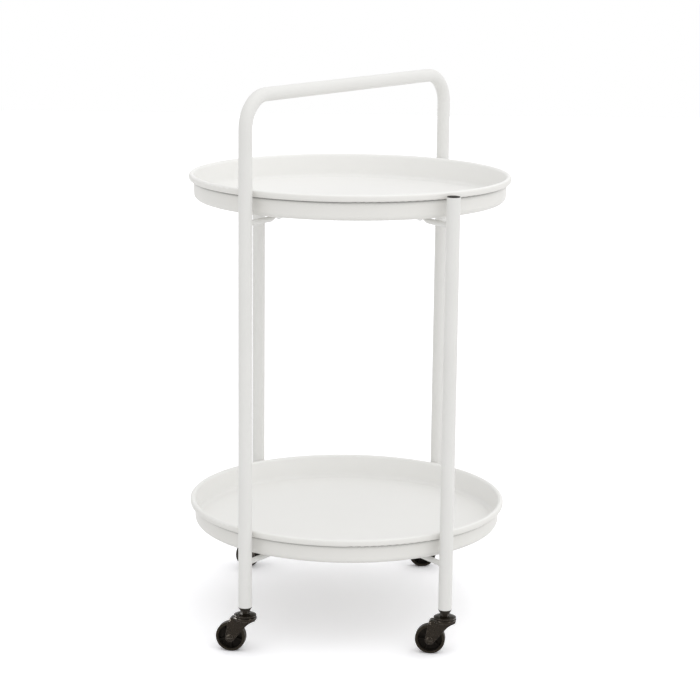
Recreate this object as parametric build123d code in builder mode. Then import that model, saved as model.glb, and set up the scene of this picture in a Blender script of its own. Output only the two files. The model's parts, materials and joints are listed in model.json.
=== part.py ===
from build123d import *
import os
from math import asin, atan2, cos, hypot, radians, sin

# Round two-tier serving cart: two pressed steel trays carried inside a bent tube frame on four
# swivel casters. Millimetres, +Z up, origin on the floor below the middle of the trays, front is -Y.

# Layout of trays and legs
TRAY_DIAMETER = 460.0  # over the rolled rim
LEG_GAP = 3.0  # between the rim and a leg tube
LEG_ANGLE = 35.08  # degrees from the front-to-back line to each leg
UPPER_TRAY_HEIGHT = 612.5  # underside above the floor
LOWER_TRAY_HEIGHT = 136.0
HANDLE_HEIGHT = 774.5  # axis of the grip bar above the floor
SHORT_LEG_DROP = 5.0  # top of a short leg below the top of the upper rim

# Frame tube
TUBE_DIAMETER = 19.0
TUBE_WALL = 1.0
HANDLE_BEND_RADIUS = 44.0  # on the tube axis

# Trays
TRAY_SHEET = 1.0
TRAY_DEPTH = 36.0  # underside to top of rim
TRAY_CORNER_RADIUS = 7.0  # between floor and wall, on the middle of the sheet
TRAY_DRAFT = 1.5  # degrees that the wall leans outwards
RIM_ROLL_DIAMETER = 7.5
RIM_ROLL_FLAT = 2.2  # straight stretch down the outside of the roll
RIM_ROLL_SWEEP = 285.0  # degrees that the rim is rolled through

# Support arms, rods flattened at the inner end
ARM_DIAMETER = 7.8
ARM_DROP = 8.4  # rod axis below the underside of the tray
ARM_FLARE_LENGTH = 10.0  # from round rod to flat tongue
ARM_FLARE_EASE = 0.0001  # by which the corners where the flare starts fall short of the rod's radius
TONGUE_THICKNESS = 3.0
TONGUE_WIDTH = 16.0
TONGUE_EDGE_RADIUS = 1.2
TONGUE_REACH = 8.5  # from the stud to each end of the flat
WELD_LEG = 0.9  # weld fillet round the root of each arm
WELD_GAP = 0.05

# Studs under the trays, with washers and nuts
STUD_DIAMETER = 6.0
STUD_INSET = 62.0  # stud axis inside the tray's outer edge
STUD_PROJECTION = 1.5  # past the nut
STUD_CHAMFER = 0.7
STUD_CLEARANCE = 0.3  # radial, in the tongue and washer
WASHER_DIAMETER = 12.0
WASHER_THICKNESS = 1.2
NUT_WIDTH = 10.0  # across flats
NUT_HEIGHT = 5.0
NUT_CHAMFER = 0.6
THREAD_CLEARANCE = 0.05

# Plugs in the tops of the short legs
PLUG_SEAT = 0.4  # how far the head laps onto the tube wall
PLUG_EDGE = 0.8
PLUG_CROWN = 1.0
PLUG_DEPTH = 12.0
PLUG_CORE_RELIEF = 1.2
PLUG_FINS = 3
PLUG_FIN_THICKNESS = 1.4
INSERT_CLEARANCE = 0.05  # radial, plugs and sockets in the tube bore

# Caster sockets in the feet of the legs
SOCKET_DEPTH = 36.0
SOCKET_COLLAR_HEIGHT = 5.4
SOCKET_COLLAR_EDGE = 0.8
SOCKET_COLLAR_INSET = 0.05  # collar edge inside the tube's outer face
SOCKET_COLLAR_TAPER = 2.6

# Caster stem
STEM_DIAMETER = 8.0
STEM_LENGTH = 32.0  # above the hexagon
STEM_CHAMFER = 1.0
STEM_CLEARANCE = 0.05
HEXAGON_WIDTH = 11.5
HEXAGON_HEIGHT = 3.6
KINGPIN_DIAMETER = 6.0
KINGPIN_HEAD_DIAMETER = 11.0
KINGPIN_HEAD_HEIGHT = 1.4
KINGPIN_PLAY = 0.2  # below the fork crown
SWIVEL_CLEARANCE = 0.05

# Caster swivel bearing
RACE_DIAMETER = 31.4  # upper race
RACE_EDGE_HEIGHT = 2.2
RACE_HEIGHT = 4.3
RACE_TOP_DIAMETER = 14.0
RACE_LIP_RADIUS = 1.0  # round the lower edge
RACE_GAP = 0.5  # between upper race and fork ring
RACE_CLEARANCE = 0.03  # upper race on the kingpin
BALL_DIAMETER = 3.5
BALL_COUNT = 15
BALL_CIRCLE_DIAMETER = 23.0
BALL_CLEARANCE = 0.05

# Caster fork
FORK_SHEET = 2.0
FORK_BEND_RADIUS = 2.6  # inside
FORK_RING_DIAMETER = 32.0
FORK_RING_HEIGHT = 1.9  # above the crown
FORK_RING_EDGE = 0.8
FORK_TAIL = 2.5  # crown behind the axle
FORK_NECK = 7.0  # where the line of a cheek's front edge meets its top, ahead of the kingpin
FORK_FRONT = 15.6  # front of the crown ahead of the kingpin
FORK_BAND = 0.6  # depth of the straight band below the bends of the crown
FORK_THROAT = 8.0  # how far below its top the front edge starts to curve forwards to the crown
FORK_EYE_RADIUS = 6.4  # end of each cheek round the axle
CROWN_CLEARANCE = 5.0  # wheel tread to the underside of the crown

# Caster wheel and axle
WHEEL_DIAMETER = 42.0
WHEEL_WIDTH = 13.0
WHEEL_RIM = 3.8
WHEEL_EDGE_RADIUS = 2.0
WHEEL_WEB = 2.6
WHEEL_RIB_COUNT = 5
WHEEL_RIB_WIDTH = 2.4
WHEEL_RIB_INSET = 2.5  # below the wheel's side faces
HUB_DIAMETER = 12.0
HUB_LENGTH = 15.0
HUB_PLAY = 0.3  # each side, between hub and fork
AXLE_DIAMETER = 5.0
AXLE_CLEARANCE = 0.05
AXLE_HEAD_DIAMETER = 9.4
AXLE_HEAD_HEIGHT = 1.9
AXLE_HEAD_EDGE = 0.7
AXLE_SLOT_WIDTH = 1.3
AXLE_SLOT_DEPTH = 0.9
TRAIL = 20.0  # swivel axis to wheel axle

# Which way each caster has come to rest: degrees from straight left towards the back
SWIVEL_FRONT_LEFT = 10.0
SWIVEL_FRONT_RIGHT = 7.0
SWIVEL_BACK_LEFT = -42.0
SWIVEL_BACK_RIGHT = -5.0

# How far each wheel has rolled from having a rib pointing straight ahead, in degrees
ROLL_FRONT_LEFT = 56.0
ROLL_FRONT_RIGHT = 36.0
ROLL_BACK_LEFT = 50.0
ROLL_BACK_RIGHT = 35.0

# Derived sizes
tray_radius = TRAY_DIAMETER / 2
tube_radius = TUBE_DIAMETER / 2
bore_radius = tube_radius - TUBE_WALL
leg_circle = tray_radius + LEG_GAP + tube_radius
stud_circle = tray_radius - STUD_INSET
short_leg_top = UPPER_TRAY_HEIGHT + TRAY_DEPTH - SHORT_LEG_DROP
wheel_radius = WHEEL_DIAMETER / 2
fork_gap = HUB_LENGTH + 2 * HUB_PLAY
fork_width = fork_gap + 2 * FORK_SHEET
crown_under = WHEEL_DIAMETER + CROWN_CLEARANCE
crown_top = crown_under + FORK_SHEET
ring_top = crown_top + FORK_RING_HEIGHT
race_under = ring_top + RACE_GAP
race_top = race_under + RACE_HEIGHT
ball_height = ring_top + RACE_GAP / 2
hexagon_top = race_top + HEXAGON_HEIGHT
leg_foot = hexagon_top + SOCKET_COLLAR_HEIGHT

ACROSS = sin(radians(LEG_ANGLE))
ALONG = cos(radians(LEG_ANGLE))

# Each corner: unit direction from the middle to the leg, resting swivel angle and wheel angle
CORNERS = {
    "front_left": ((-ACROSS, -ALONG), SWIVEL_FRONT_LEFT, ROLL_FRONT_LEFT),
    "front_right": ((ACROSS, -ALONG), SWIVEL_FRONT_RIGHT, ROLL_FRONT_RIGHT),
    "back_left": ((-ACROSS, ALONG), SWIVEL_BACK_LEFT, ROLL_BACK_LEFT),
    "back_right": ((ACROSS, ALONG), SWIVEL_BACK_RIGHT, ROLL_BACK_RIGHT),
}
SHORT_LEGS = ("front_right", "back_left")
TRAYS = {"upper": UPPER_TRAY_HEIGHT, "lower": LOWER_TRAY_HEIGHT}


def corner_point(corner, radius):
    """Plan position on a corner's radius."""
    x, y = CORNERS[corner][0]
    return radius * x, radius * y


def upright(corner, height=0.0):
    """Vertical sketch plane through a leg axis, with its second axis up."""
    x, y = corner_point(corner, leg_circle)
    return Plane(origin=(x, y, height), x_dir=(1, 0, 0), z_dir=(0, -1, 0))


def leg_axis(corner):
    x, y = corner_point(corner, leg_circle)
    return Axis((x, y, 0), (0, 0, 1))


def caster_plane(corner):
    """Floor plane at a swivel axis; the wheel trails along its negative first axis."""
    x, y = corner_point(corner, leg_circle)
    turn = radians(CORNERS[corner][1])
    return Plane(origin=(x, y, 0), x_dir=(cos(turn), -sin(turn), 0), z_dir=(0, 0, 1))


def caster_side(corner):
    """Vertical plane of a caster's trail, with its second axis up."""
    floor = caster_plane(corner)
    return Plane(origin=floor.origin, x_dir=floor.x_dir, z_dir=-floor.y_dir)


def axle_plane(corner):
    """Vertical plane along a wheel's axle, with its first axis along the axle."""
    floor = caster_plane(corner)
    centre = floor.from_local_coords((-TRAIL, 0, wheel_radius))
    return Plane(origin=centre, x_dir=floor.y_dir, z_dir=floor.x_dir)


def make_tray(base):
    """Pressed tray: flat floor, rounded corner, leaning wall and a rim rolled outwards."""
    lean = radians(TRAY_DRAFT)
    middle = base + TRAY_SHEET / 2
    roll_radius = (RIM_ROLL_DIAMETER - TRAY_SHEET) / 2
    wall_top_radius = tray_radius - RIM_ROLL_DIAMETER / 2 - roll_radius * cos(lean)
    wall_top = base + TRAY_DEPTH - RIM_ROLL_DIAMETER / 2 + roll_radius * sin(lean)
    wall_foot_radius = wall_top_radius - (wall_top - middle) * sin(lean) / cos(lean)
    with BuildPart() as tray:
        with BuildSketch(Plane.XZ):
            with BuildLine() as sheet:
                pan = FilletPolyline(
                    (0, middle),
                    (wall_foot_radius, middle),
                    (wall_top_radius, wall_top),
                    radius=TRAY_CORNER_RADIUS,
                )
                over = JernArc(pan @ 1, pan % 1, roll_radius, -180)
                lip = Line(over @ 1, over @ 1 + (over % 1) * RIM_ROLL_FLAT)
                JernArc(lip @ 1, lip % 1, roll_radius, 180 - RIM_ROLL_SWEEP)
            trace(sheet.line, TRAY_SHEET)
        revolve(axis=Axis.Z)
    return tray


def make_hoop():
    """One tube: front left leg, grip bar across the diagonal, back right leg."""
    across_cart = Plane(origin=(0, 0, 0), x_dir=(ACROSS, ALONG, 0), z_dir=(ALONG, -ACROSS, 0))
    with BuildPart() as hoop:
        with BuildLine(across_cart) as path:
            FilletPolyline(
                (-leg_circle, leg_foot),
                (-leg_circle, HANDLE_HEIGHT),
                (leg_circle, HANDLE_HEIGHT),
                (leg_circle, leg_foot),
                radius=HANDLE_BEND_RADIUS,
            )
        with BuildSketch(Plane(origin=path.line @ 0, z_dir=path.line % 0)):
            Circle(tube_radius)
            Circle(bore_radius, mode=Mode.SUBTRACT)
        sweep()
    return hoop


def make_short_leg(corner):
    with BuildPart() as leg:
        with BuildSketch(Plane.XY.offset(leg_foot)):
            with Locations(corner_point(corner, leg_circle)):
                Circle(tube_radius)
                Circle(bore_radius, mode=Mode.SUBTRACT)
        extrude(amount=short_leg_top - leg_foot)
    return leg


def make_plug(corner):
    """Crowned plastic plug with fins that grip the tube bore."""
    head_radius = bore_radius + PLUG_SEAT
    fin_radius = bore_radius - INSERT_CLEARANCE
    core_radius = fin_radius - PLUG_CORE_RELIEF
    fin_pitch = PLUG_DEPTH / PLUG_FINS
    with BuildPart() as plug:
        with BuildSketch(upright(corner, short_leg_top)):
            with BuildLine():
                Polyline((0, PLUG_EDGE + PLUG_CROWN), (0, 0), (head_radius, 0), (head_radius, PLUG_EDGE))
                TangentArc(
                    (0, PLUG_EDGE + PLUG_CROWN),
                    (head_radius, PLUG_EDGE),
                    tangent=(1, 0),
                )
            make_face()
            with Locations((core_radius / 2, -PLUG_DEPTH / 2)):
                Rectangle(core_radius, PLUG_DEPTH)
            for fin in range(PLUG_FINS):
                with Locations((fin_radius / 2, -fin_pitch * (fin + 0.5))):
                    Rectangle(fin_radius, PLUG_FIN_THICKNESS)
        revolve(axis=leg_axis(corner))
    return plug


def make_arm(corner, base):
    """Rod welded to a leg, flattened at its inner end into a tongue that lies under the tray."""
    x, y = CORNERS[corner][0]
    axis_height = base - ARM_DROP
    tongue_height = base - TONGUE_THICKNESS / 2
    flat_start = stud_circle + TONGUE_REACH
    round_end = flat_start + ARM_FLARE_LENGTH

    def across(radius, height):
        """Plane square to the arm, facing inwards, with its second axis up."""
        origin = (radius * x, radius * y, height)
        return Plane(origin=origin, x_dir=(-y, x, 0), z_dir=(-x, -y, 0))

    with BuildPart() as arm:
        with BuildSketch(across(leg_circle, axis_height)):
            Circle(ARM_DIAMETER / 2)
        extrude(amount=leg_circle - round_end)
        with BuildSketch(across(leg_circle, axis_height)):
            Circle(ARM_DIAMETER / 2 + WELD_LEG)
        extrude(amount=tube_radius)
        with BuildSketch(across(leg_circle - tube_radius, axis_height)):
            Circle(ARM_DIAMETER / 2 + WELD_LEG)
        with BuildSketch(across(leg_circle - tube_radius - WELD_LEG, axis_height)):
            Circle(ARM_DIAMETER / 2)
        loft()
        with BuildSketch(across(round_end, axis_height)):
            RectangleRounded(ARM_DIAMETER, ARM_DIAMETER, ARM_DIAMETER / 2 - ARM_FLARE_EASE)
        with BuildSketch(across(flat_start, tongue_height)):
            RectangleRounded(TONGUE_WIDTH, TONGUE_THICKNESS, TONGUE_EDGE_RADIUS)
        loft()
        with BuildSketch(Plane.XY.offset(base - TONGUE_THICKNESS)):
            with BuildLine(Plane(origin=(stud_circle * x, stud_circle * y, 0), x_dir=(-x, -y, 0))):
                half = TONGUE_WIDTH / 2
                Polyline((0, half), (-TONGUE_REACH, half), (-TONGUE_REACH, -half), (0, -half))
                ThreePointArc((0, -half), (half, 0), (0, half))
            make_face()
            with Locations(corner_point(corner, stud_circle)):
                Circle(STUD_DIAMETER / 2 + STUD_CLEARANCE, mode=Mode.SUBTRACT)
        extrude(amount=TONGUE_THICKNESS)
        with BuildSketch(Plane.XY.offset(axis_height)):
            with Locations(corner_point(corner, leg_circle)):
                Circle(tube_radius + WELD_GAP)
        extrude(amount=ARM_DIAMETER, both=True, mode=Mode.SUBTRACT)
    return arm


def stud_places():
    return [corner_point(corner, stud_circle) for corner in CORNERS]


def make_studs(base):
    """Threaded studs welded under a tray."""
    length = TONGUE_THICKNESS + WASHER_THICKNESS + NUT_HEIGHT + STUD_PROJECTION
    with BuildPart() as studs:
        with BuildSketch(Plane.XY.offset(base - length)):
            with Locations(stud_places()):
                Circle(STUD_DIAMETER / 2)
        extrude(amount=length)
        chamfer(studs.edges().group_by(Axis.Z)[0], STUD_CHAMFER)
    return studs


def make_washers(base):
    with BuildPart() as washers:
        with BuildSketch(Plane.XY.offset(base - TONGUE_THICKNESS)):
            with Locations(stud_places()):
                Circle(WASHER_DIAMETER / 2)
                Circle(STUD_DIAMETER / 2 + STUD_CLEARANCE, mode=Mode.SUBTRACT)
        extrude(amount=-WASHER_THICKNESS)
    return washers


def make_nuts(base):
    """Hexagon nuts, chamfered all round underneath."""
    top = base - TONGUE_THICKNESS - WASHER_THICKNESS
    with BuildPart() as nuts:
        with BuildSketch(Plane.XY.offset(top)):
            with Locations(stud_places()):
                RegularPolygon(NUT_WIDTH / 2, 6, major_radius=False)
        extrude(amount=-NUT_HEIGHT)
        chamfer(nuts.edges().group_by(Axis.Z)[0], NUT_CHAMFER)
        with BuildSketch(Plane.XY.offset(top)):
            with Locations(stud_places()):
                Circle(STUD_DIAMETER / 2 + THREAD_CLEARANCE)
        extrude(amount=-NUT_HEIGHT, mode=Mode.SUBTRACT)
    return nuts


def make_socket(corner):
    """Plastic insert in a leg's foot, with a flared collar below the tube."""
    collar_radius = tube_radius - SOCKET_COLLAR_INSET
    collar_foot = collar_radius - SOCKET_COLLAR_TAPER
    stem_bore = STEM_DIAMETER / 2 + STEM_CLEARANCE
    insert_radius = bore_radius - INSERT_CLEARANCE
    with BuildPart() as socket:
        with BuildSketch(upright(corner, leg_foot)):
            with BuildLine():
                Polyline(
                    (collar_foot, -SOCKET_COLLAR_HEIGHT),
                    (stem_bore, -SOCKET_COLLAR_HEIGHT),
                    (stem_bore, SOCKET_DEPTH),
                    (insert_radius, SOCKET_DEPTH),
                    (insert_radius, 0),
                    (collar_radius, 0),
                    (collar_radius, -SOCKET_COLLAR_EDGE),
                    close=True,
                )
            make_face()
        revolve(axis=leg_axis(corner))
    return socket


def make_stem(corner):
    """Steel stem with a hexagon, a kingpin through the swivel bearing and a riveted head."""
    place = corner_point(corner, leg_circle)
    pin_foot = crown_under - KINGPIN_PLAY
    with BuildPart() as stem:
        with BuildSketch(Plane.XY.offset(hexagon_top)):
            with Locations(place):
                Circle(STEM_DIAMETER / 2)
        extrude(amount=STEM_LENGTH)
        chamfer(stem.edges().group_by(Axis.Z)[-1], STEM_CHAMFER)
        with BuildSketch(Plane.XY.offset(race_top)):
            with Locations(place):
                RegularPolygon(HEXAGON_WIDTH / 2, 6, major_radius=False)
        extrude(amount=HEXAGON_HEIGHT)
        with BuildSketch(Plane.XY.offset(pin_foot)):
            with Locations(place):
                Circle(KINGPIN_DIAMETER / 2)
        extrude(amount=race_top - pin_foot)
        with BuildSketch(Plane.XY.offset(pin_foot)):
            with Locations(place):
                Circle(KINGPIN_HEAD_DIAMETER / 2)
        extrude(amount=-KINGPIN_HEAD_HEIGHT)
    return stem


def make_race(corner):
    """Domed upper race, fixed on the kingpin below the hexagon."""
    inner = KINGPIN_DIAMETER / 2 + RACE_CLEARANCE
    x, y = corner_point(corner, leg_circle)
    with BuildPart() as race:
        with BuildSketch(upright(corner, race_under)) as profile:
            with BuildLine():
                shoulder = (RACE_DIAMETER / 2, RACE_EDGE_HEIGHT)
                crest = (RACE_TOP_DIAMETER / 2, RACE_HEIGHT)
                Polyline(crest, (inner, RACE_HEIGHT), (inner, 0), (RACE_DIAMETER / 2, 0), shoulder)
                TangentArc(crest, shoulder, tangent=(1, 0))
            make_face()
            lip = (RACE_DIAMETER / 2, 0)
            fillet(profile.vertices().sort_by_distance(lip)[0], RACE_LIP_RADIUS)
        revolve(axis=leg_axis(corner))
        with Locations((x, y, ball_height)):
            Torus(
                BALL_CIRCLE_DIAMETER / 2,
                BALL_DIAMETER / 2 + BALL_CLEARANCE,
                mode=Mode.SUBTRACT,
            )
    return race


def make_balls(corner):
    x, y = corner_point(corner, leg_circle)
    with BuildPart() as balls:
        with Locations((x, y, ball_height)):
            with PolarLocations(BALL_CIRCLE_DIAMETER / 2, BALL_COUNT):
                Sphere(BALL_DIAMETER / 2)
    return balls


def make_fork(corner):
    """Sheet fork: hooded crown, two tapering cheeks and a ring that holds the lower ball race."""
    floor = caster_plane(corner)
    side = caster_side(corner)
    x, y = corner_point(corner, leg_circle)
    tail = TRAIL + FORK_TAIL
    forwards = Axis(floor.origin, floor.x_dir)
    bend_outside = FORK_BEND_RADIUS + FORK_SHEET
    cheek_top = crown_top - bend_outside
    skirt = cheek_top - FORK_BAND
    rise, run = skirt - wheel_radius, FORK_NECK + TRAIL
    slope = atan2(rise, run) + asin(FORK_EYE_RADIUS / hypot(rise, run))
    throat = (FORK_NECK - FORK_THROAT * cos(slope), skirt - FORK_THROAT * sin(slope))
    front = (FORK_FRONT, crown_under)
    clear = FORK_FRONT + FORK_SHEET
    with BuildPart() as fork:
        with BuildSketch(floor.offset(skirt)):
            with Locations(((FORK_FRONT - tail) / 2, 0)):
                Rectangle(FORK_FRONT + tail, fork_width)
        extrude(amount=crown_top - skirt)
        rounded = fork.edges().sort_by(forwards)[:-4]
        underside = fork.edges().group_by(Axis.Z)[0]
        fillet([edge for edge in rounded if edge not in underside], bend_outside)
        openings = [fork.faces().sort_by(Axis.Z)[0], fork.faces().sort_by(forwards)[-1]]
        offset(amount=-FORK_SHEET, openings=openings)
        for face in (-1, 1):
            with BuildSketch(side.offset(face * fork_gap / 2)):
                with Locations((-TRAIL, wheel_radius)):
                    Circle(FORK_EYE_RADIUS)
                with Locations(((FORK_NECK - tail) / 2, cheek_top - FORK_BAND / 2)):
                    Rectangle(FORK_NECK + tail, FORK_BAND)
                make_hull()
                with BuildLine():
                    Polyline(throat, (FORK_FRONT, cheek_top), (FORK_NECK, cheek_top), close=True)
                make_face()
            extrude(amount=face * FORK_SHEET)
        with BuildSketch(side):
            with BuildLine():
                TangentArc(throat, front, tangent=(cos(slope), sin(slope)))
                Polyline(front, (clear, crown_under), (clear, throat[1]), throat)
            make_face()
        extrude(amount=fork_width, both=True, mode=Mode.SUBTRACT)
        with BuildSketch(Plane.XY.offset(crown_under)):
            with Locations((x, y)):
                Circle(FORK_RING_DIAMETER / 2)
        extrude(amount=ring_top - crown_under)
        fillet(fork.edges().group_by(Axis.Z)[-1], FORK_RING_EDGE)
        with Locations((x, y, ball_height)):
            Torus(
                BALL_CIRCLE_DIAMETER / 2,
                BALL_DIAMETER / 2 + BALL_CLEARANCE,
                mode=Mode.SUBTRACT,
            )
        with BuildSketch(Plane.XY.offset(ring_top)):
            with Locations((x, y)):
                Circle(KINGPIN_DIAMETER / 2 + SWIVEL_CLEARANCE)
        extrude(amount=crown_under - ring_top, mode=Mode.SUBTRACT)
        with BuildSketch(side):
            with Locations((-TRAIL, wheel_radius)):
                Circle(AXLE_DIAMETER / 2 + AXLE_CLEARANCE)
        extrude(amount=fork_width, both=True, mode=Mode.SUBTRACT)
    return fork


def make_axle(corner):
    """Axle screw with a slotted head outside each cheek."""
    place = axle_plane(corner)
    seat = fork_width / 2
    end = seat + AXLE_HEAD_HEIGHT
    head_radius = AXLE_HEAD_DIAMETER / 2
    with BuildPart() as axle:
        with BuildSketch(place):
            with BuildLine():
                Polyline((end, 0), (-end, 0))
                for side in (-1, 1):
                    edge = (side * (seat + AXLE_HEAD_EDGE), head_radius)
                    Polyline(edge, (side * seat, head_radius), (side * seat, AXLE_DIAMETER / 2))
                    TangentArc((side * end, 0), edge, tangent=(0, 1))
                Line((-seat, AXLE_DIAMETER / 2), (seat, AXLE_DIAMETER / 2))
            make_face()
        revolve(axis=Axis(place.origin, place.x_dir))
        for side in (-1, 1):
            with BuildSketch(caster_side(corner).offset(side * end)):
                with Locations((-TRAIL, wheel_radius)):
                    Rectangle(AXLE_HEAD_DIAMETER, AXLE_SLOT_WIDTH)
            extrude(amount=-side * AXLE_SLOT_DEPTH, mode=Mode.SUBTRACT)
    return axle


def make_wheel(corner):
    """Moulded wheel: rounded tread, thin web with ribs on both faces and a longer hub."""
    place = axle_plane(corner)
    rim_inside = wheel_radius - WHEEL_RIM
    rib_length = rim_inside - HUB_DIAMETER / 2 + WHEEL_RIM
    rib_middle = (rim_inside + HUB_DIAMETER / 2) / 2
    with BuildPart() as wheel:
        with BuildSketch(place):
            with Locations((0, wheel_radius - WHEEL_RIM / 2)):
                tread = Rectangle(WHEEL_WIDTH, WHEEL_RIM)
            fillet(tread.vertices().group_by(Axis.Y)[-1], WHEEL_EDGE_RADIUS)
            with Locations((0, wheel_radius / 2)):
                Rectangle(WHEEL_WEB, wheel_radius - WHEEL_RIM)
            with Locations((0, HUB_DIAMETER / 4)):
                Rectangle(HUB_LENGTH, HUB_DIAMETER / 2)
        revolve(axis=Axis(place.origin, place.x_dir))
        with BuildSketch(caster_side(corner)):
            with Locations((-TRAIL, wheel_radius)):
                with PolarLocations(rib_middle, WHEEL_RIB_COUNT, CORNERS[corner][2]):
                    Rectangle(rib_length, WHEEL_RIB_WIDTH)
        extrude(amount=WHEEL_WIDTH / 2 - WHEEL_RIB_INSET, both=True)
        with BuildSketch(caster_side(corner)):
            with Locations((-TRAIL, wheel_radius)):
                Circle(AXLE_DIAMETER / 2 + AXLE_CLEARANCE)
        extrude(amount=HUB_LENGTH, both=True, mode=Mode.SUBTRACT)
    return wheel


def write(name, piece):
    piece.part.label = name
    export_step(piece.part, f"parts/{name}.step")


os.makedirs("parts", exist_ok=True)

write("handle_hoop", make_hoop())
for corner in SHORT_LEGS:
    write(f"{corner}_leg", make_short_leg(corner))
    write(f"{corner}_leg_plug", make_plug(corner))

for tier, base in TRAYS.items():
    write(f"{tier}_tray", make_tray(base))
    write(f"{tier}_tray_studs", make_studs(base))
    write(f"{tier}_tray_washers", make_washers(base))
    write(f"{tier}_tray_nuts", make_nuts(base))
    for corner in CORNERS:
        write(f"{tier}_arm_{corner}", make_arm(corner, base))

for corner in CORNERS:
    write(f"caster_socket_{corner}", make_socket(corner))
    write(f"caster_stem_{corner}", make_stem(corner))
    write(f"caster_race_{corner}", make_race(corner))
    write(f"caster_balls_{corner}", make_balls(corner))
    write(f"caster_fork_{corner}", make_fork(corner))
    write(f"caster_axle_{corner}", make_axle(corner))
    write(f"caster_wheel_{corner}", make_wheel(corner))
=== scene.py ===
import json
from math import cos, radians, sin

import bpy
from mathutils import Matrix, Vector

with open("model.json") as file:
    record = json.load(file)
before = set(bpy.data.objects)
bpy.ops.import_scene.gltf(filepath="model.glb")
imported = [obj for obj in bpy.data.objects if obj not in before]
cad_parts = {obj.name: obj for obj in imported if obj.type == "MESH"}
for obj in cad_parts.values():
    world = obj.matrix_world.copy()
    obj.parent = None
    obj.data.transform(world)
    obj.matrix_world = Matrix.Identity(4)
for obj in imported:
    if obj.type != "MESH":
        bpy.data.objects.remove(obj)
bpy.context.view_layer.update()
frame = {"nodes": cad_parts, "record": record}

# Camera: place in metres, angles in degrees, focal length in pixels of a 700 pixel square picture,
# sensor in millimetres
CAMERA_PLACE = (0.00981, -3.03931, 1.04791)
CAMERA_PITCH = 12.2203
CAMERA_YAW = -0.1384
CAMERA_ROLL = 0.6365
FOCAL_PIXELS = 2139.68
PICTURE_WIDTH = 700
SENSOR_WIDTH = 36.0

# Light: a pale surround that is brighter towards the front right, a broad soft source overhead, and
# cards that only show as highlights on the casters' steel, by azimuth from the front and elevation;
# angles in degrees, lengths in metres
SURROUND_BRIGHT_SIDE = (0.89, -0.45, 0.0)
SURROUND_DIM = 0.73
SURROUND_BRIGHT = 1.21
SKY_DIRECTION = (0.05, -0.10, 1.00)
SKY_ANGLE = 60.0
SKY_STRENGTH = 0.32
CARD_ANGLES = ((-115.0, 28.0), (-98.0, 12.0), (-52.0, 28.0), (52.0, 28.0), (98.0, 12.0))
CARD_AIM = (0.0, 0.0, 0.10)
CARD_DISTANCE = 2.2
CARD_SIZE = 1.00
CARD_POWER = 80.0
CARD_STEEL = ("caster_race", "caster_fork", "caster_axle", "caster_stem")

# Floor: shown lighter than it bounces, so that it is white but for the shadow
FLOOR_SIZE = 14.0
FLOOR_BOUNCE = 0.8
FLOOR_SHOWN = (1.240, 1.239, 1.262)

# Finishes, as linear colours
TRAY_LIGHT = (0.806, 0.797, 0.769)
TRAY_DARK = (0.776, 0.766, 0.737)
# Painted light: the lighter colour of the trays' faces that face up or inward
TRAY_LIT_INSIDE = (0.870, 0.866, 0.848)
# The frame's enamel is the trays' white made a little darker, as painted shade on the tubes
TUBE_LIGHT = (0.782, 0.778, 0.758)
TUBE_DARK = (0.752, 0.747, 0.726)
# Painted shade: the grey that outer enamel faces take where they are sheltered in creases
CREASE_SHADE = (0.05, 0.048, 0.044)
ZINC_LIGHT = (0.84, 0.84, 0.83)
ZINC_DARK = (0.74, 0.74, 0.73)
PLUG_LIGHT = (0.024, 0.021, 0.018)
PLUG_DARK = (0.014, 0.0125, 0.011)
SOCKET_LIGHT = (0.044, 0.039, 0.033)
SOCKET_DARK = (0.030, 0.027, 0.023)
BLACK_LIGHT = (0.012, 0.0092, 0.0060)
BLACK_DARK = (0.005, 0.0038, 0.0025)
# Brighter edges of the blackened steel: partly rubbed bare, partly painted highlight
BARE_EDGE_AND_GLINT = (0.30, 0.27, 0.24)
WHEEL_LIGHT = (0.006, 0.0052, 0.0044)
WHEEL_DARK = (0.003, 0.0026, 0.0022)
# Lighter brown of the wheels' rims: partly dust, partly painted highlight
RIM_DUST_AND_HIGHLIGHT = (0.036, 0.030, 0.022)
BROWN_SHEEN = (1.0, 0.86, 0.72, 1.0)
BALL_LIGHT = (0.78, 0.78, 0.79)
BALL_DARK = (0.66, 0.66, 0.67)

# Grain of the finishes, in features per metre
TRAY_CLOUDS = 5.0
TUBE_CLOUDS = 9.0
ENAMEL_SHEEN_GRAIN = 35.0
ORANGE_PEEL = 420.0
ZINC_PATCHES = 300.0
ZINC_SHEEN_GRAIN = 900.0
ZINC_STREAKS = 2500.0
MOULD_PATCHES = 120.0
MOULD_SHEEN_GRAIN = 260.0
MOULD_GRAIN = 1800.0
STEEL_PATCHES = 180.0
STEEL_SHEEN_GRAIN = 240.0
STEEL_WEAR = 700.0
STEEL_RIPPLE = 900.0
WHEEL_PATCHES = 150.0
WHEEL_SHEEN_GRAIN = 220.0
WHEEL_SPECKLE = 420.0
WHEEL_GRAIN = 1400.0
BALL_PATCHES = 600.0
BALL_SHEEN_GRAIN = 900.0

# How much finer the zinc's streaks are along each axis
STREAK_STRETCH = (0.2, 0.2, 6.0)

# Roughness of the finishes, from the glossiest to the dullest spots
ENAMEL_ROUGHNESS = (0.40, 0.50)
ZINC_ROUGHNESS = (0.28, 0.45)
PLUG_ROUGHNESS = (0.46, 0.60)
SOCKET_ROUGHNESS = (0.36, 0.50)
STEM_ROUGHNESS = (0.26, 0.42)
RACE_ROUGHNESS = (0.08, 0.14)
FORK_ROUGHNESS = (0.12, 0.18)
AXLE_ROUGHNESS = (0.24, 0.40)
WHEEL_ROUGHNESS = (0.34, 0.50)
BALL_ROUGHNESS = (0.10, 0.22)

# Rounding that light sees on edges, reach of the painted crease shade and place of the wheels' lighter
# rim, in metres
ENAMEL_EDGE = 0.0006
ZINC_EDGE = 0.0003
MOULD_EDGE = 0.0004
STEEL_EDGE = 0.0005
WHEEL_EDGE = 0.0005
CREASE_REACH = 0.014
WHEEL_RIM = (0.0168, 0.0176)
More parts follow.
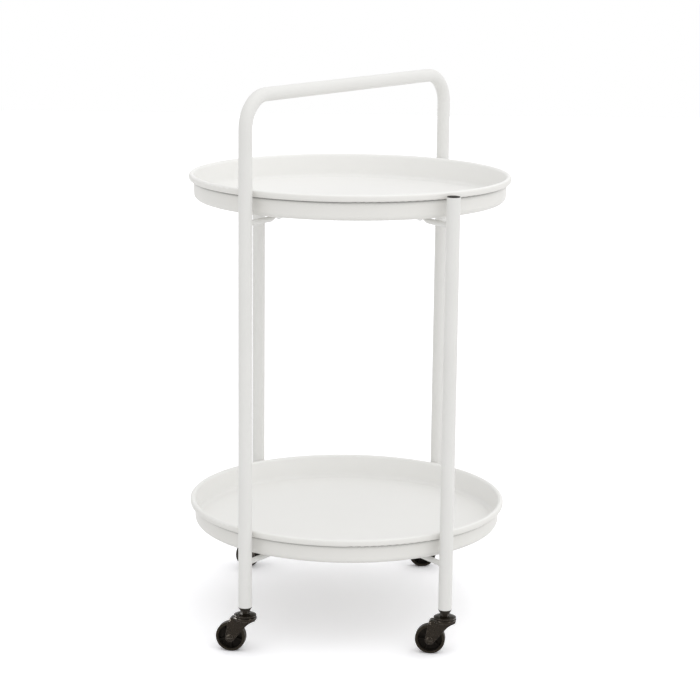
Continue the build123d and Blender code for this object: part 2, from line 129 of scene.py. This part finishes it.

# Values between which each mask goes over from none to full: for noise, for worn and glinting spots along
# edges, for edges by the cosine between true and rounded normal, for the painted crease shade by openness,
# and for faces by their direction
NOISE_RANGE = (0.3, 0.7)
WORN_GLINT_RANGE = (0.35, 0.55)
EDGE_RANGE = (0.80, 0.995)
CREASE_RANGE = (0.60, 0.85)
UP_RANGE = (0.5, 0.9)
INWARD_RANGE = (-0.6, -0.2)
OUTWARD_RANGE = (0.2, 0.6)

# Share of the rim's lighter brown, dust and painted highlight, in the thinnest spots of the wheel's rim
LEAST_DUST_AND_HIGHLIGHT = 0.55

# Rays that find edges and creases
EDGE_SAMPLES = 8
CREASE_SAMPLES = 16


class Nodes:
    """Short words for building one material's node tree."""

    def __init__(self, name):
        self.material = bpy.data.materials.new(name)
        self.material.use_nodes = True
        self.tree = self.material.node_tree
        self.shader = self.tree.nodes["Principled BSDF"]
        self.place = self.add("ShaderNodeTexCoord").outputs["Object"]

    def add(self, kind, **settings):
        node = self.tree.nodes.new(kind)
        for key, value in settings.items():
            setattr(node, key, value)
        return node

    def link(self, source, target):
        self.tree.links.new(source, target)

    def noise(self, scale, detail=2.0, stretch=(1.0, 1.0, 1.0)):
        """Noise with its grain in features per metre, made finer along each axis by stretch."""
        mapping = self.add("ShaderNodeMapping")
        mapping.inputs["Scale"].default_value = stretch
        self.link(self.place, mapping.inputs["Vector"])
        noise = self.add("ShaderNodeTexNoise")
        noise.inputs["Scale"].default_value = scale
        noise.inputs["Detail"].default_value = detail
        self.link(mapping.outputs["Vector"], noise.inputs["Vector"])
        return noise.outputs["Fac"]

    def ranged(self, value, low, high, ends=NOISE_RANGE):
        """Value between the two ends spread from low to high."""
        start, stop = ends
        spread = self.add("ShaderNodeMapRange")
        spread.inputs["From Min"].default_value = start
        spread.inputs["From Max"].default_value = stop
        spread.inputs["To Min"].default_value = low
        spread.inputs["To Max"].default_value = high
        self.link(value, spread.inputs["Value"])
        return spread.outputs["Result"]

    def mixed(self, share, first, second):
        """Colour from first to second by share; either may be a colour or a socket."""
        mix = self.add("ShaderNodeMix", data_type="RGBA")
        self.link(share, mix.inputs["Factor"])
        for socket, colour in ((mix.inputs["A"], first), (mix.inputs["B"], second)):
            if isinstance(colour, tuple):
                socket.default_value = (*colour, 1.0)
            else:
                self.link(colour, socket)
        return mix.outputs["Result"]

    def edges(self, radius):
        """Rounded normal, and a mask that is 1 on sharp edges."""
        bevel = self.add("ShaderNodeBevel", samples=EDGE_SAMPLES)
        bevel.inputs["Radius"].default_value = radius
        geometry = self.add("ShaderNodeNewGeometry")
        dot = self.add("ShaderNodeVectorMath", operation="DOT_PRODUCT")
        self.link(bevel.outputs["Normal"], dot.inputs[0])
        self.link(geometry.outputs["Normal"], dot.inputs[1])
        return bevel.outputs["Normal"], self.ranged(dot.outputs["Value"], 1.0, 0.0, EDGE_RANGE)

    def times(self, first, second):
        product = self.add("ShaderNodeMath", operation="MULTIPLY")
        self.link(first, product.inputs[0])
        self.link(second, product.inputs[1])
        return product.outputs["Value"]

    def facing(self):
        """How far the surface faces away from the upright axis, and how far it faces up."""
        normal = self.add("ShaderNodeNewGeometry").outputs["Normal"]
        flat = self.add("ShaderNodeVectorMath", operation="MULTIPLY")
        flat.inputs[1].default_value = (1.0, 1.0, 0.0)
        self.link(self.place, flat.inputs[0])
        outward = self.add("ShaderNodeVectorMath", operation="NORMALIZE")
        self.link(flat.outputs["Vector"], outward.inputs[0])
        dot = self.add("ShaderNodeVectorMath", operation="DOT_PRODUCT")
        self.link(outward.outputs["Vector"], dot.inputs[0])
        self.link(normal, dot.inputs[1])
        parts = self.add("ShaderNodeSeparateXYZ")
        self.link(normal, parts.inputs["Vector"])
        return dot.outputs["Value"], parts.outputs["Z"]

    def crease_shade(self):
        """Mask that is 1 deep in the piece's own creases, where shade is painted."""
        shelter = self.add("ShaderNodeAmbientOcclusion", samples=CREASE_SAMPLES, only_local=True)
        shelter.inputs["Distance"].default_value = CREASE_REACH
        return self.ranged(shelter.outputs["AO"], 1.0, 0.0, CREASE_RANGE)

    def bump(self, height, strength, distance, normal=None):
        bump = self.add("ShaderNodeBump")
        bump.inputs["Strength"].default_value = strength
        bump.inputs["Distance"].default_value = distance
        self.link(height, bump.inputs["Height"])
        if normal is not None:
            self.link(normal, bump.inputs["Normal"])
        self.link(bump.outputs["Normal"], self.shader.inputs["Normal"])

    def colour(self, socket):
        self.link(socket, self.shader.inputs["Base Color"])

    def roughness(self, socket):
        self.link(socket, self.shader.inputs["Roughness"])

    def fixed(self, **values):
        """Numbers that are the same all over the surface."""
        for key, value in values.items():
            self.shader.inputs[key.replace("_", " ")].default_value = value


def enamel(name, cloud_grain, light, dark, lit_inside):
    """White enamel: faint clouding, painted light on faces turned up or inward, painted shade in the
    creases of outer faces, fine orange peel and an uneven sheen.
    """
    paint = Nodes(name)
    clouds = paint.ranged(paint.noise(cloud_grain, detail=3.0), 0.0, 1.0)
    outward, up = paint.facing()
    # Painted light: faces that face up or inward take the lighter colour
    lit_share = paint.add("ShaderNodeMath", operation="MAXIMUM")
    paint.link(paint.ranged(up, 0.0, 1.0, UP_RANGE), lit_share.inputs[0])
    paint.link(paint.ranged(outward, 1.0, 0.0, INWARD_RANGE), lit_share.inputs[1])
    before_crease_shade = paint.mixed(lit_share.outputs["Value"], paint.mixed(clouds, dark, light), lit_inside)
    # Painted shade: outer faces turn grey as far as they are sheltered in creases
    crease_shade_share = paint.times(paint.crease_shade(), paint.ranged(outward, 0.0, 1.0, OUTWARD_RANGE))
    paint.colour(paint.mixed(crease_shade_share, before_crease_shade, CREASE_SHADE))
    paint.roughness(paint.ranged(paint.noise(ENAMEL_SHEEN_GRAIN, detail=4.0), *ENAMEL_ROUGHNESS))
    normal, _ = paint.edges(ENAMEL_EDGE)
    paint.bump(paint.noise(ORANGE_PEEL), strength=0.05, distance=0.0002, normal=normal)
    paint.fixed(Specular_IOR_Level=0.20)
    return paint.material


def zinc(name):
    """Bright zinc plate with fine streaks and duller patches."""
    metal = Nodes(name)
    patches = metal.ranged(metal.noise(ZINC_PATCHES, detail=3.0), 0.0, 1.0)
    metal.colour(metal.mixed(patches, ZINC_DARK, ZINC_LIGHT))
    metal.roughness(metal.ranged(metal.noise(ZINC_SHEEN_GRAIN), *ZINC_ROUGHNESS))
    normal, _ = metal.edges(ZINC_EDGE)
    streaks = metal.noise(ZINC_STREAKS, detail=1.0, stretch=STREAK_STRETCH)
    metal.bump(streaks, strength=0.15, distance=0.0001, normal=normal)
    metal.fixed(Metallic=0.5)
    return metal.material


def moulded(name, light, dark, roughness, gloss):
    """Moulded plastic: fine spark-eroded grain and a sheen that varies a little."""
    plastic = Nodes(name)
    patches = plastic.ranged(plastic.noise(MOULD_PATCHES, detail=3.0), 0.0, 1.0)
    plastic.colour(plastic.mixed(patches, dark, light))
    plastic.roughness(plastic.ranged(plastic.noise(MOULD_SHEEN_GRAIN, detail=3.0), *roughness))
    normal, _ = plastic.edges(MOULD_EDGE)
    plastic.bump(plastic.noise(MOULD_GRAIN), strength=0.12, distance=0.0001, normal=normal)
    plastic.fixed(Specular_IOR_Level=gloss, Specular_Tint=BROWN_SHEEN)
    return plastic.material


def blackened(name, roughness, wear_and_glint, gloss):
    """Blackened steel under lacquer: mottled brown black, brighter along its edges, partly rubbed bare and
    partly painted highlight.
    """
    steel = Nodes(name)
    patches = steel.ranged(steel.noise(STEEL_PATCHES, detail=4.0), 0.0, 1.0)
    base = steel.mixed(patches, BLACK_DARK, BLACK_LIGHT)
    normal, edge = steel.edges(STEEL_EDGE)
    # Brighter edges broken up by noise: partly rubbed bare steel, partly painted highlight
    broken = steel.ranged(steel.noise(STEEL_WEAR, detail=3.0), 0.0, wear_and_glint, WORN_GLINT_RANGE)
    steel.colour(steel.mixed(steel.times(edge, broken), base, BARE_EDGE_AND_GLINT))
    steel.roughness(steel.ranged(steel.noise(STEEL_SHEEN_GRAIN, detail=3.0), *roughness))
    steel.bump(steel.noise(STEEL_RIPPLE), strength=0.02, distance=0.0002, normal=normal)
    steel.fixed(Specular_IOR_Level=gloss, Specular_Tint=BROWN_SHEEN)
    return steel.material


def wheel_plastic(name, centre, axle):
    """Black moulded wheel whose rim is lighter brown all round: partly picked-up dust, partly painted
    highlight.
    """
    plastic = Nodes(name)
    patches = plastic.ranged(plastic.noise(WHEEL_PATCHES, detail=4.0), 0.0, 1.0)
    base = plastic.mixed(patches, WHEEL_DARK, WHEEL_LIGHT)
    from_centre = plastic.add("ShaderNodeVectorMath", operation="SUBTRACT")
    plastic.link(plastic.place, from_centre.inputs[0])
    from_centre.inputs[1].default_value = centre
    across = plastic.add("ShaderNodeVectorMath", operation="CROSS_PRODUCT")
    plastic.link(from_centre.outputs["Vector"], across.inputs[0])
    across.inputs[1].default_value = axle
    radius = plastic.add("ShaderNodeVectorMath", operation="LENGTH")
    plastic.link(across.outputs["Vector"], radius.inputs[0])
    rim = plastic.ranged(radius.outputs["Value"], 0.0, 1.0, WHEEL_RIM)
    speckle = plastic.ranged(plastic.noise(WHEEL_SPECKLE, detail=5.0), LEAST_DUST_AND_HIGHLIGHT, 1.0)
    # Lighter brown rim: partly dust, partly painted highlight
    plastic.colour(plastic.mixed(plastic.times(rim, speckle), base, RIM_DUST_AND_HIGHLIGHT))
    plastic.roughness(plastic.ranged(plastic.noise(WHEEL_SHEEN_GRAIN, detail=3.0), *WHEEL_ROUGHNESS))
    normal, _ = plastic.edges(WHEEL_EDGE)
    plastic.bump(plastic.noise(WHEEL_GRAIN, detail=3.0), strength=0.10, distance=0.0001, normal=normal)
    plastic.fixed(Specular_IOR_Level=0.10, Specular_Tint=BROWN_SHEEN)
    return plastic.material


def ball_steel(name):
    """Polished bearing steel with a film of grease."""
    metal = Nodes(name)
    patches = metal.ranged(metal.noise(BALL_PATCHES), 0.0, 1.0)
    metal.colour(metal.mixed(patches, BALL_DARK, BALL_LIGHT))
    metal.roughness(metal.ranged(metal.noise(BALL_SHEEN_GRAIN), *BALL_ROUGHNESS))
    metal.fixed(Metallic=1.0)
    return metal.material


def dress_nodes():
    """Gives each wheel its own finish, and every other node the finish of its material slot."""
    finishes = {
        # The frame's faces that face up or inward take its lighter tone, as painted light
        "frame_enamel": enamel("frame_enamel_paint", TUBE_CLOUDS, TUBE_LIGHT, TUBE_DARK, TUBE_LIGHT),
        "tray_enamel": enamel("tray_enamel_paint", TRAY_CLOUDS, TRAY_LIGHT, TRAY_DARK, TRAY_LIT_INSIDE),
        "zinc_steel": zinc("zinc_plate"),
        "plug_plastic": moulded("plug_black", PLUG_LIGHT, PLUG_DARK, PLUG_ROUGHNESS, gloss=0.08),
        "socket_plastic": moulded("socket_black", SOCKET_LIGHT, SOCKET_DARK, SOCKET_ROUGHNESS, gloss=0.22),
        "stem_steel": blackened("stem_black", STEM_ROUGHNESS, wear_and_glint=0.5, gloss=0.25),
        "race_steel": blackened("race_black", RACE_ROUGHNESS, wear_and_glint=1.0, gloss=0.24),
        "ball_steel": ball_steel("ball_polish"),
        "fork_steel": blackened("fork_black", FORK_ROUGHNESS, wear_and_glint=0.9, gloss=0.26),
        "axle_steel": blackened("axle_black", AXLE_ROUGHNESS, wear_and_glint=0.9, gloss=0.25),
    }
    for joint in frame["record"]["behaviour"]["joints"]:
        if joint["name"].startswith("roll_"):
            node = joint["name"].replace("roll_", "caster_wheel_")
            finishes[node] = wheel_plastic(f"{node}_black", joint["pos_m"], joint["axis"])
    for subpart in frame["record"]["subparts"]:
        node = subpart["node"]
        finish = finishes.get(node) or finishes[subpart["material_slot"]]
        for socket in frame["nodes"][node].material_slots:
            socket.material = finish


def seen_by_lens(tree):
    """Socket that is 1 for rays from the lens, and for their reflections and refractions."""
    path = tree.nodes.new("ShaderNodeLightPath")
    total = path.outputs["Is Camera Ray"]
    for name in ("Is Glossy Ray", "Is Transmission Ray"):
        joined = tree.nodes.new("ShaderNodeMath")
        joined.operation = "MAXIMUM"
        tree.links.new(total, joined.inputs[0])
        tree.links.new(path.outputs[name], joined.inputs[1])
        total = joined.outputs["Value"]
    return total


def show_to_lens(tree, elsewhere, shown, output_kind):
    """Ends the tree with one shader for what the lens sees and another for all other rays."""
    choose = tree.nodes.new("ShaderNodeMixShader")
    tree.links.new(seen_by_lens(tree), choose.inputs["Fac"])
    tree.links.new(elsewhere.outputs[0], choose.inputs[1])
    tree.links.new(shown.outputs[0], choose.inputs[2])
    output = tree.nodes.new(output_kind)
    tree.links.new(choose.outputs["Shader"], output.inputs["Surface"])


def make_floor():
    """Pale floor that shows white to the lens and keeps the object's shadow."""
    bpy.ops.mesh.primitive_plane_add(size=FLOOR_SIZE)
    floor = bpy.context.object
    floor.name = "floor"
    material = bpy.data.materials.new("floor_paper")
    material.use_nodes = True
    tree = material.node_tree
    tree.nodes.clear()
    bounce = tree.nodes.new("ShaderNodeBsdfDiffuse")
    bounce.inputs["Color"].default_value = (FLOOR_BOUNCE, FLOOR_BOUNCE, FLOOR_BOUNCE, 1.0)
    shown = tree.nodes.new("ShaderNodeBsdfDiffuse")
    shown.inputs["Color"].default_value = (*FLOOR_SHOWN, 1.0)
    show_to_lens(tree, bounce, shown, "ShaderNodeOutputMaterial")
    floor.data.materials.append(material)


def make_surround():
    """Pale surround, brighter on one side, and white where the lens sees it."""
    world = bpy.data.worlds.new("surround")
    bpy.context.scene.world = world
    world.use_nodes = True
    tree = world.node_tree
    tree.nodes.clear()
    light = tree.nodes.new("ShaderNodeBackground")
    direction = tree.nodes.new("ShaderNodeTexCoord")
    facing = tree.nodes.new("ShaderNodeVectorMath")
    facing.operation = "DOT_PRODUCT"
    facing.inputs[1].default_value = SURROUND_BRIGHT_SIDE
    tree.links.new(direction.outputs["Generated"], facing.inputs[0])
    level = tree.nodes.new("ShaderNodeMapRange")
    level.inputs["From Min"].default_value = -1.0
    level.inputs["From Max"].default_value = 1.0
    level.inputs["To Min"].default_value = SURROUND_DIM
    level.inputs["To Max"].default_value = SURROUND_BRIGHT
    tree.links.new(facing.outputs["Value"], level.inputs["Value"])
    tree.links.new(level.outputs["Result"], light.inputs["Strength"])
    white = tree.nodes.new("ShaderNodeBackground")
    for background in (light, white):
        background.inputs["Color"].default_value = (1.0, 1.0, 1.0, 1.0)
    show_to_lens(tree, light, white, "ShaderNodeOutputWorld")


def make_lights():
    """Broad overhead light, and the cards that light only the casters' steel."""
    sky = bpy.data.lights.new("sky_light", "SUN")
    sky.angle = radians(SKY_ANGLE)
    sky.energy = SKY_STRENGTH
    piece = bpy.data.objects.new("sky_light", sky)
    piece.rotation_euler = Vector(SKY_DIRECTION).to_track_quat("Z", "Y").to_euler()
    bpy.context.scene.collection.objects.link(piece)
    lit_by_cards = bpy.data.collections.new("lit_by_cards")
    for node, piece in frame["nodes"].items():
        if node.startswith(CARD_STEEL):
            lit_by_cards.objects.link(piece)
    for number, (azimuth, elevation) in enumerate(CARD_ANGLES, 1):
        turn, lift = radians(azimuth), radians(elevation)
        toward = Vector((sin(turn) * cos(lift), -cos(turn) * cos(lift), sin(lift)))
        card = bpy.data.lights.new(f"card_{number}", "AREA")
        card.size = CARD_SIZE
        card.energy = CARD_POWER
        piece = bpy.data.objects.new(f"card_{number}", card)
        piece.rotation_euler = toward.to_track_quat("Z", "Y").to_euler()
        piece.location = Vector(CARD_AIM) + toward * CARD_DISTANCE
        piece.visible_diffuse = False
        piece.visible_camera = False
        piece.light_linking.receiver_collection = lit_by_cards
        bpy.context.scene.collection.objects.link(piece)


def make_camera():
    """Camera at the photograph's viewing angle, with its slight tilt."""
    pitch, yaw, roll = radians(CAMERA_PITCH), radians(CAMERA_YAW), radians(CAMERA_ROLL)
    ahead = Vector((sin(yaw) * cos(pitch), cos(yaw) * cos(pitch), -sin(pitch)))
    level = Vector((cos(yaw), -sin(yaw), 0.0))
    above = level.cross(ahead)
    right = cos(roll) * level + sin(roll) * above
    up = cos(roll) * above - sin(roll) * level
    lens = bpy.data.cameras.new("camera")
    lens.sensor_width = SENSOR_WIDTH
    lens.lens = FOCAL_PIXELS * SENSOR_WIDTH / PICTURE_WIDTH
    camera = bpy.data.objects.new("camera", lens)
    place = Matrix((right, up, -ahead)).transposed().to_4x4()
    place.translation = Vector(CAMERA_PLACE)
    camera.matrix_world = place
    bpy.context.scene.collection.objects.link(camera)
    bpy.context.scene.camera = camera


dress_nodes()
make_floor()
make_surround()
make_lights()
make_camera()
bpy.context.scene.view_settings.view_transform = "Standard"
